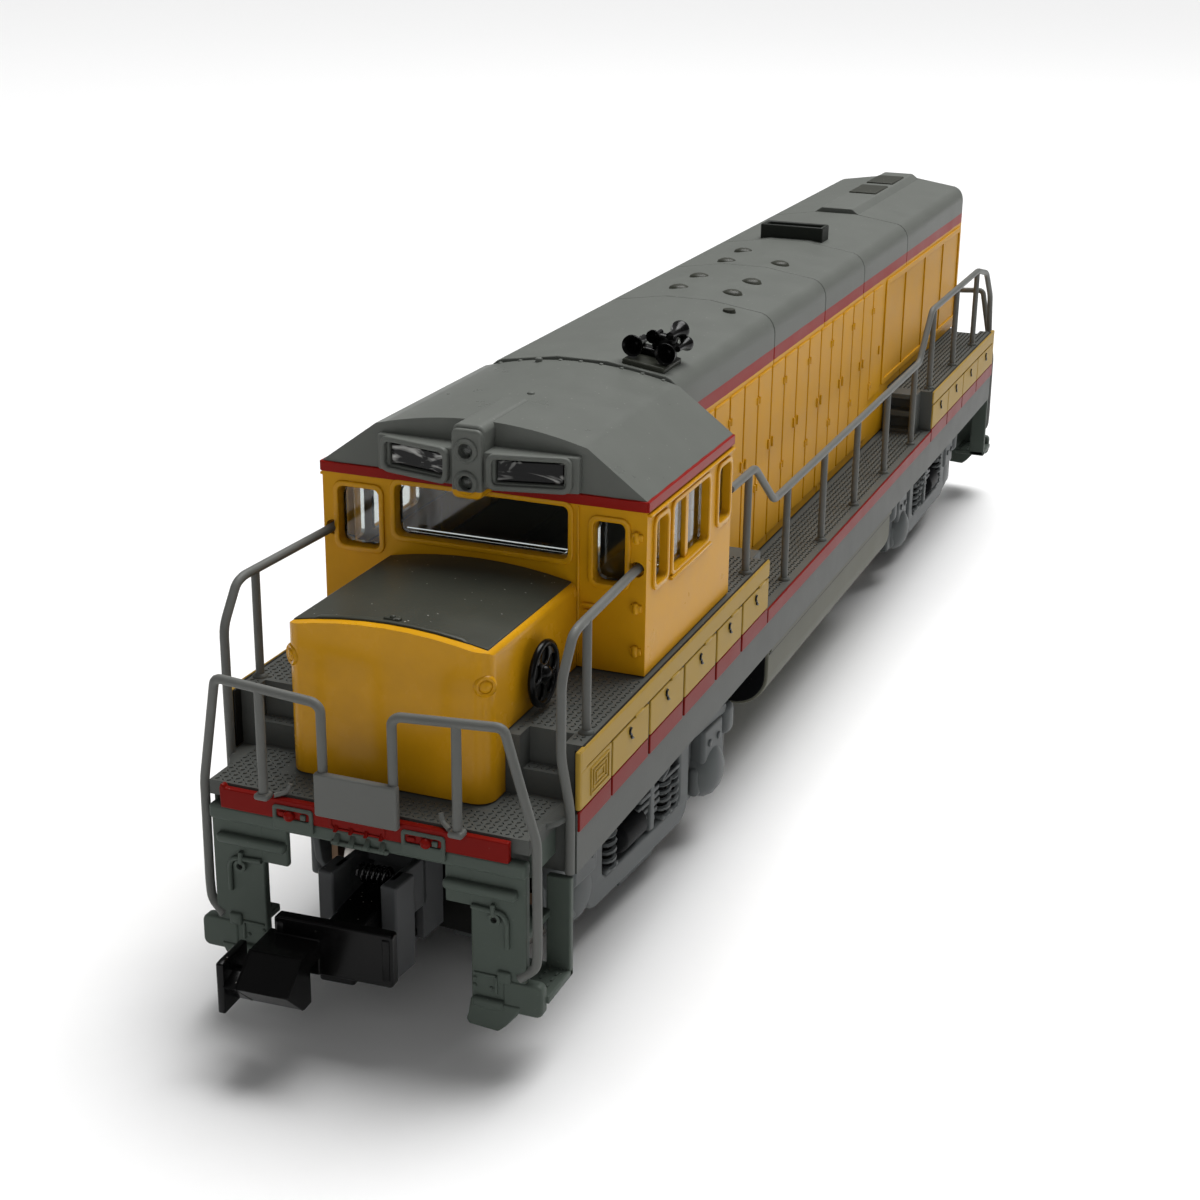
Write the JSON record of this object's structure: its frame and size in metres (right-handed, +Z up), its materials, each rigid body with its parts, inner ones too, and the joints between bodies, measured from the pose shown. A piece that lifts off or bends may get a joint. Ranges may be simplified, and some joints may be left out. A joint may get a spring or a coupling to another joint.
{
  "type": "model diesel locomotive",
  "caption": "Small-scale model diesel locomotive: a narrow hood and cab on a walkway frame with handrails, over swivelling geared trucks with hook couplers.",
  "frame": {"origin": "centre of the footprint, at the underside of the wheel flanges", "axes": "+X towards the nose and cab end, +Y to the locomotive's left, +Z up"},
  "size_m": [0.1217, 0.02, 0.0317],
  "materials": {
    "dark_plastic": "dark moulded",
    "black_plastic": "black",
    "yellow_shell": "satin yellow",
    "clear_plastic": "clear, dark behind",
    "cast_metal": "grey die-casting",
    "steel": "plain",
    "bronze": "rolled strip",
    "rail_grey": "matt grey, slightly flexible",
    "brass": "turned",
    "lens_plastic": "clear over dark",
    "tank_olive": "matt olive grey",
    "nylon": "natural",
    "circuit_board": "green laminate",
    "pilot_grey": "matt greenish grey",
    "truck_grey": "matt grey",
    "deck_grey": "matt grey"
  },
  "bodies": {
    "body": {"walkway": "deck_grey", "long_hood": "yellow_shell", "cab": "yellow_shell", "cab_windows": "clear_plastic", "short_hood": "yellow_shell", "front_light_lens": "lens_plastic", "rear_light_lens": "lens_plastic", "horn": "black_plastic", "brake_wheel": "black_plastic", "pilot_front": "pilot_grey", "pilot_rear": "pilot_grey", "front_railing": "rail_grey", "rear_railing": "rail_grey", "corner_rail_left": "rail_grey", "corner_rail_right": "rail_grey", "side_rail_left": "rail_grey", "side_rail_right": "rail_grey", "fuel_tank": "tank_olive", "chassis_left": "cast_metal", "chassis_right": "cast_metal", "chassis_screw_front": "steel", "chassis_screw_rear": "steel", "light_board": "circuit_board", "motor_case": "steel"},
    "rotor": {"motor_shaft": "steel", "flywheel_front": "brass", "flywheel_rear": "brass", "worm_front": "brass", "worm_rear": "brass"},
    "front_truck": {"truck_frame_front": "truck_grey", "gear_tower_front": "dark_plastic", "contact_front_left": "bronze", "contact_front_right": "bronze"},
    "front_worm_gear": {"worm_gear_front": "nylon"},
    "front_idler_1": {"idler_gear_front_1": "nylon"},
    "front_idler_2": {"idler_gear_front_2": "nylon"},
    "front_axle_1": {"axle_gear_front_1": "dark_plastic", "wheel_front_1_left": "steel", "wheel_front_1_right": "steel"},
    "front_axle_2": {"axle_gear_front_2": "dark_plastic", "wheel_front_2_left": "steel", "wheel_front_2_right": "steel"},
    "front_coupler_pivot": {"coupler_spring_front": "steel"},
    "front_coupler": {"coupler_front": "black_plastic"},
    "rear_truck": {"truck_frame_rear": "truck_grey", "gear_tower_rear": "dark_plastic", "contact_rear_left": "bronze", "contact_rear_right": "bronze"},
    "rear_worm_gear": {"worm_gear_rear": "nylon"},
    "rear_idler_1": {"idler_gear_rear_1": "nylon"},
    "rear_idler_2": {"idler_gear_rear_2": "nylon"},
    "rear_axle_1": {"axle_gear_rear_1": "dark_plastic", "wheel_rear_1_left": "steel", "wheel_rear_1_right": "steel"},
    "rear_axle_2": {"axle_gear_rear_2": "dark_plastic", "wheel_rear_2_left": "steel", "wheel_rear_2_right": "steel"},
    "rear_coupler_pivot": {"coupler_spring_rear": "steel"},
    "rear_coupler": {"coupler_rear": "black_plastic"}
  },
  "joints": [
    {"name": "motor_spin", "type": "hinge", "parent": "body", "child": "rotor", "pos_m": [0, 0, 0.0185], "axis": [1, 0, 0], "continuous": true},
    {"name": "front_truck_swivel", "type": "hinge", "parent": "body", "child": "front_truck", "pos_m": [0.0344, 0, 0.0041], "axis": [0, 0, 1], "range_deg": [-2.8, 11.2]},
    {"name": "front_worm_gear_spin", "type": "hinge", "parent": "front_truck", "child": "front_worm_gear", "pos_m": [0.0344, 0, 0.0122], "axis": [0.0732, 0.9973, 0], "continuous": true},
    {"name": "front_idler_1_spin", "type": "hinge", "parent": "front_truck", "child": "front_idler_1", "pos_m": [0.04018, -0.00042, 0.00842], "axis": [0.0732, 0.9973, 0], "continuous": true},
    {"name": "front_idler_2_spin", "type": "hinge", "parent": "front_truck", "child": "front_idler_2", "pos_m": [0.02862, 0.00042, 0.00842], "axis": [0.0732, 0.9973, 0], "continuous": true},
    {"name": "front_axle_1_spin", "type": "hinge", "parent": "front_truck", "child": "front_axle_1", "pos_m": [0.04328, -0.00065, 0.0041], "axis": [0.0732, 0.9973, 0], "continuous": true},
    {"name": "front_axle_2_spin", "type": "hinge", "parent": "front_truck", "child": "front_axle_2", "pos_m": [0.02552, 0.00065, 0.0041], "axis": [0.0732, 0.9973, 0], "continuous": true},
    {"name": "front_coupler_swing", "type": "hinge", "parent": "front_truck", "child": "front_coupler_pivot", "pos_m": [0.05076, -0.0012, 0.00545], "axis": [0, 0, 1], "range_deg": [-15.3, 0.5]},
    {"name": "front_coupler_lift", "type": "hinge", "parent": "front_coupler_pivot", "child": "front_coupler", "pos_m": [0.05076, -0.0012, 0.00545], "axis": [0.0558, -0.9984, 0], "range_deg": [0, 9], "stiffness_Nm_per_rad": 0.0002, "springref_deg": -11.46},
    {"name": "rear_truck_swivel", "type": "hinge", "parent": "body", "child": "rear_truck", "pos_m": [-0.0344, 0, 0.0041], "axis": [0, 0, 1], "range_deg": [-7, 7]},
    {"name": "rear_worm_gear_spin", "type": "hinge", "parent": "rear_truck", "child": "rear_worm_gear", "pos_m": [-0.0344, 0, 0.0122], "axis": [0, 1, 0], "continuous": true},
    {"name": "rear_idler_1_spin", "type": "hinge", "parent": "rear_truck", "child": "rear_idler_1", "pos_m": [-0.0402, 0, 0.00842], "axis": [0, 1, 0], "continuous": true},
    {"name": "rear_idler_2_spin", "type": "hinge", "parent": "rear_truck", "child": "rear_idler_2", "pos_m": [-0.0286, 0, 0.00842], "axis": [0, 1, 0], "continuous": true},
    {"name": "rear_axle_1_spin", "type": "hinge", "parent": "rear_truck", "child": "rear_axle_1", "pos_m": [-0.0433, 0, 0.0041], "axis": [0, 1, 0], "continuous": true},
    {"name": "rear_axle_2_spin", "type": "hinge", "parent": "rear_truck", "child": "rear_axle_2", "pos_m": [-0.0255, 0, 0.0041], "axis": [0, 1, 0], "continuous": true},
    {"name": "rear_coupler_swing", "type": "hinge", "parent": "rear_truck", "child": "rear_coupler_pivot", "pos_m": [-0.0508, 0, 0.00545], "axis": [0, 0, 1], "range_deg": [-7.9, 7.9]},
    {"name": "rear_coupler_lift", "type": "hinge", "parent": "rear_coupler_pivot", "child": "rear_coupler", "pos_m": [-0.0508, 0, 0.00545], "axis": [0, 1, 0], "range_deg": [0, 9], "stiffness_Nm_per_rad": 0.0002, "springref_deg": -11.46}
  ],
  "couplings": [
    {"joint": "front_worm_gear_spin", "follows": "motor_spin", "ratio": -0.05},
    {"joint": "front_idler_1_spin", "follows": "motor_spin", "ratio": 0.071429},
    {"joint": "front_idler_2_spin", "follows": "motor_spin", "ratio": 0.071429},
    {"joint": "front_axle_1_spin", "follows": "motor_spin", "ratio": -0.083333},
    {"joint": "front_axle_2_spin", "follows": "motor_spin", "ratio": -0.083333},
    {"joint": "rear_worm_gear_spin", "follows": "motor_spin", "ratio": -0.05},
    {"joint": "rear_idler_1_spin", "follows": "motor_spin", "ratio": 0.071429},
    {"joint": "rear_idler_2_spin", "follows": "motor_spin", "ratio": 0.071429},
    {"joint": "rear_axle_1_spin", "follows": "motor_spin", "ratio": -0.083333},
    {"joint": "rear_axle_2_spin", "follows": "motor_spin", "ratio": -0.083333}
  ]
}
